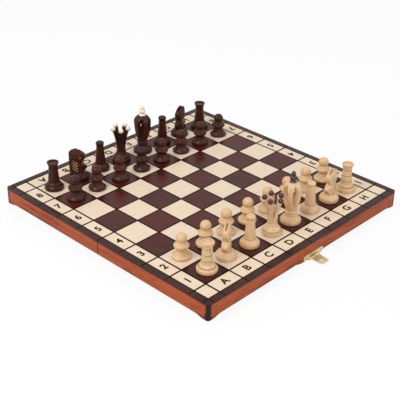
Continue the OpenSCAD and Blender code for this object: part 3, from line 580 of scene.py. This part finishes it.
def carved(points, turn):
    """A knight's points after paring the head and mane, and 1 on each knife stroke and eye."""
    foot = points[points[:, 2] < TOP_Z + 3 * MM]
    middle = (foot.min(0) + foot.max(0)) / 2
    angle = math.radians(turn)
    out = numpy.array([math.cos(angle), math.sin(angle), 0])
    side = numpy.array([-math.sin(angle), math.cos(angle), 0])
    x = (points - middle) @ out
    y = (points - middle) @ side
    z = points[:, 2] - TOP_Z
    up = z / KNIGHT_H
    neck = 0.24 * numpy.exp(-((up - 0.56) / 0.09) ** 2)
    muzzle = 0.38 * fade(x, 0.5 * MM, 7 * MM) * fade(up, 0.58, 0.66)
    chest = 0.45 * fade(x, 2 * MM, 9 * MM) * fade(up, 0.56, 0.5)
    mane = 0.5 * fade(x, -6.5 * MM, -11.2 * MM)
    ears = 0.3 * fade(up, 0.84, 1.0)
    above_foot = fade(up, 0.22, 0.28)
    slim = 1 - above_foot * numpy.clip(neck + muzzle + chest + mane + ears, 0, 0.65)
    parting = EAR_CUT * numpy.clip(1 - numpy.abs(y) / (2.4 * MM), 0, 1) * fade(up, 0.86, 0.94)
    cuts = numpy.zeros(len(points))
    for row in range(4):
        dx, dz = x - STROKE_MIDDLE_X, z - KNIGHT_H * (0.34 + 0.085 * row)
        lengthways = dx * math.cos(STROKE_TILT) - dz * math.sin(STROKE_TILT)
        width = dx * math.sin(STROKE_TILT) + dz * math.cos(STROKE_TILT)
        cuts = numpy.maximum(cuts, fade(numpy.abs(lengthways), 4 * MM, 3.4 * MM)
                             * fade(numpy.abs(width), 0.75 * MM, 0.4 * MM))
    eye = numpy.hypot(x - EYE_X, z - EYE_HEIGHT * KNIGHT_H)
    on_sides = fade(numpy.abs(y), 1 * MM, 1.6 * MM)
    cuts = numpy.maximum(cuts, fade(eye, 1.3 * MM, 0.7 * MM)) * on_sides
    moved = points + numpy.outer(y * (slim - 1), side)
    moved[:, 2] -= parting
    return moved, cuts


def sanded(name, finish, body):
    """A man's own shape with soft edges; the attribute hollow says how hollow each point is."""
    mesh = nodes[name].data.copy()
    shape = bmesh.new()
    shape.from_mesh(mesh)
    bmesh.ops.remove_doubles(shape, verts=shape.verts, dist=0.002 * MM)
    bmesh.ops.recalc_face_normals(shape, faces=shape.faces)
    shape.to_mesh(mesh)
    shape.free()
    raw = bpy.data.objects.new(name + "_raw", mesh)
    bpy.context.scene.collection.objects.link(raw)
    blocks = raw.modifiers.new("even", "REMESH")
    blocks.mode = "VOXEL"
    blocks.voxel_size = VOXEL
    rub = raw.modifiers.new("rub", "SMOOTH")
    rub.factor = 0.5
    rub.iterations = RUBBING_PASSES
    evaluated = raw.evaluated_get(bpy.context.evaluated_depsgraph_get())
    ready = bpy.data.meshes.new_from_object(evaluated)
    bpy.data.objects.remove(raw)
    ready.name = name + "_sanded"
    # how far the neighbours of a point lie above it, in parts of their distance
    count = len(ready.vertices)
    points = numpy.empty(count * 3)
    ready.vertices.foreach_get("co", points)
    points = points.reshape(count, 3)
    if name in KNIGHT_TURNS:
        points, cuts = carved(points, KNIGHT_TURNS[name])
        ready.vertices.foreach_set("co", points.ravel())
        ready.update()
        cut = ready.attributes.new("cut", "FLOAT", "POINT")
        cut.data.foreach_set("value", cuts.astype(numpy.float32))
    normals = numpy.empty(count * 3)
    ready.vertex_normals.foreach_get("vector", normals)
    normals = normals.reshape(count, 3)
    ends = numpy.empty(len(ready.edges) * 2, dtype=numpy.int32)
    ready.edges.foreach_get("vertices", ends)
    ends = ends.reshape(-1, 2)
    both = numpy.concatenate([ends, ends[:, ::-1]])
    links = numpy.maximum(numpy.bincount(both[:, 0], minlength=count), 1)
    start, stop = both[:, 0], both[:, 1]
    rise = numpy.einsum("ij,ij->i", points[stop] - points[start], normals[start])
    depth = numpy.bincount(start, rise, minlength=count) / links / VOXEL
    for _ in range(2):
        depth = 0.5 * depth + 0.5 * numpy.bincount(start, depth[stop], minlength=count) / links
    hollow = ready.attributes.new("hollow", "FLOAT", "POINT")
    hollow.data.foreach_set("value", depth.astype(numpy.float32))
    for face in ready.polygons:
        face.use_smooth = True
    made = bpy.data.objects.new(name + "_sanded", ready)
    bpy.context.scene.collection.objects.link(made)
    dress(made, finish)
    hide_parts(name)
    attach(made, body)


def worn_finish(kind, side):
    """The man's wood with painted shade in its hollows, and paler along its edges as wear and as a
    painted highlight.
    """
    finish = woods[kind, side].copy()
    finish.name = f"{side}_{kind}_worn_and_shaded"
    tree = finish.node_tree
    shader = tree.nodes["Principled BSDF"]
    tone = shader.inputs["Base Color"].links[0].from_socket
    hollow = put(tree, "ShaderNodeAttribute", attribute_name="hollow").outputs["Fac"]
    # painted shade darkens the hollows; the edges are made paler, as wear and as a painted highlight
    painted_hollow_shade = sum_up(tree, "MULTIPLY", band(tree, hollow, 0.03, 0.14), 0.75)
    worn_edge_and_highlight = sum_up(tree, "MULTIPLY", band(tree, hollow, -0.05, -0.16), 0.5)
    # the first colour is the painted shade in the hollows, the second the paler edges
    if side == "dark":
        cut, rubbed_and_lit = (20, 8, 6), (108, 60, 42)
    else:
        cut, rubbed_and_lit = (124, 82, 50), (244, 220, 188)
    tone = blend_colours(tree, painted_hollow_shade, tone, srgb(*cut))
    tone = blend_colours(tree, worn_edge_and_highlight, tone, srgb(*rubbed_and_lit))
    # knife strokes and eyes: painted pale on the dark knights, and painted darker on the light
    # knights as shade in the cuts
    if kind == "knight":
        stroke = put(tree, "ShaderNodeAttribute", attribute_name="cut").outputs["Fac"]
        bare = srgb(190, 142, 112) if side == "dark" else srgb(168, 124, 84)
        tone = blend_colours(tree, sum_up(tree, "MULTIPLY", stroke, 0.85), tone, bare)
    tree.links.new(tone, shader.inputs["Base Color"])
    return finish


for side in SIDES:
    for kind, files in (("knight", "bg"), ("queen", "d"), ("king", "e")):
        finish = worn_finish(kind, side)
        for letter in files:
            sanded(f"{side}_{kind}_{letter}", finish, f"{side}_{kind}_{letter}_man")

# --- Table, light and camera ----------------------------------------------------------------------
# A plain white table in a white room, under a large soft light from the left and above and a
# weaker one from the front. The camera stands where the photograph was taken from.

TABLE_Z = -1.3 * MM
PICTURE_PIXELS = 400
FOCAL_PIXELS = 931.2
SENSOR_MM = 36.0
CAMERA_PLACE = (-0.6701, -0.6310, 0.5358)

floor_mesh = bpy.data.meshes.new("table_top")
shape = bmesh.new()
bmesh.ops.create_grid(shape, x_segments=1, y_segments=1, size=6.0)
shape.to_mesh(floor_mesh)
shape.free()
floor_mesh.transform(Matrix.Translation((0, 0, TABLE_Z)))
floor = bpy.data.objects.new("table_top", floor_mesh)
bpy.context.scene.collection.objects.link(floor)
table, tree, shader, where = new_finish("white_table")
shader.inputs["Base Color"].default_value = (0.86, 0.86, 0.86, 1)
shader.inputs["Roughness"].default_value = 0.8
seen = tree.nodes.new("ShaderNodeLightPath").outputs["Is Camera Ray"]
glow = put(tree, "ShaderNodeEmission", {"Color": (1, 1, 1, 1), "Strength": 1.0}).outputs[0]
mixed = put(tree, "ShaderNodeMixShader",
            {0: sum_up(tree, "MULTIPLY", seen, 0.87), 1: shader.outputs[0], 2: glow})
tree.links.new(mixed.outputs[0], tree.nodes["Material Output"].inputs["Surface"])
dress(floor, table)

world = bpy.data.worlds.new("white_room")
bpy.context.scene.world = world
world.use_nodes = True
tree = world.node_tree
tree.nodes.clear()
path = tree.nodes.new("ShaderNodeLightPath").outputs
straight = sum_up(tree, "MAXIMUM",
                  sum_up(tree, "MAXIMUM", path["Is Camera Ray"], path["Is Glossy Ray"]),
                  path["Is Transmission Ray"])
dim = put(tree, "ShaderNodeBackground", {"Color": (1, 1, 1, 1), "Strength": 0.62}).outputs[0]
bright = put(tree, "ShaderNodeBackground", {"Color": (1, 1, 1, 1), "Strength": 1.0}).outputs[0]
mixed = put(tree, "ShaderNodeMixShader", {0: straight, 1: dim, 2: bright})
ending = tree.nodes.new("ShaderNodeOutputWorld")
tree.links.new(mixed.outputs[0], ending.inputs["Surface"])


def soft_box(name, place, aim, size, power):
    """A square area lamp that faces the point aim."""
    lamp = bpy.data.lights.new(name, "AREA")
    lamp.shape = "SQUARE"
    lamp.size = size
    lamp.energy = power
    made = bpy.data.objects.new(name, lamp)
    made.location = place
    made.rotation_euler = (Vector(aim) - Vector(place)).to_track_quat("-Z", "Y").to_euler()
    bpy.context.scene.collection.objects.link(made)


soft_box("key_light", (-0.95, 0.1, 1.25), (0, 0, 0.02), 0.8, 12.5)
soft_box("fill_light", (0.3, -1.25, 0.8), (0, 0, 0.02), 0.9, 4.5)

camera = bpy.data.objects.new("camera", bpy.data.cameras.new("camera"))
bpy.context.scene.collection.objects.link(camera)
bpy.context.scene.camera = camera
camera.data.sensor_width = SENSOR_MM
camera.data.lens = FOCAL_PIXELS / PICTURE_PIXELS * SENSOR_MM
camera.data.clip_start = 0.05
ahead = Vector((0.62941, 0.59498, -0.49984)).normalized()
rightwards = Vector((0.69368, -0.72010, 0.01634))
rightwards = (rightwards - ahead * rightwards.dot(ahead)).normalized()
upwards = rightwards.cross(ahead)
turned = Matrix((rightwards, upwards, -ahead)).transposed().to_4x4()
camera.matrix_world = Matrix.Translation(CAMERA_PLACE) @ turned
bpy.context.scene.view_settings.view_transform = "Standard"
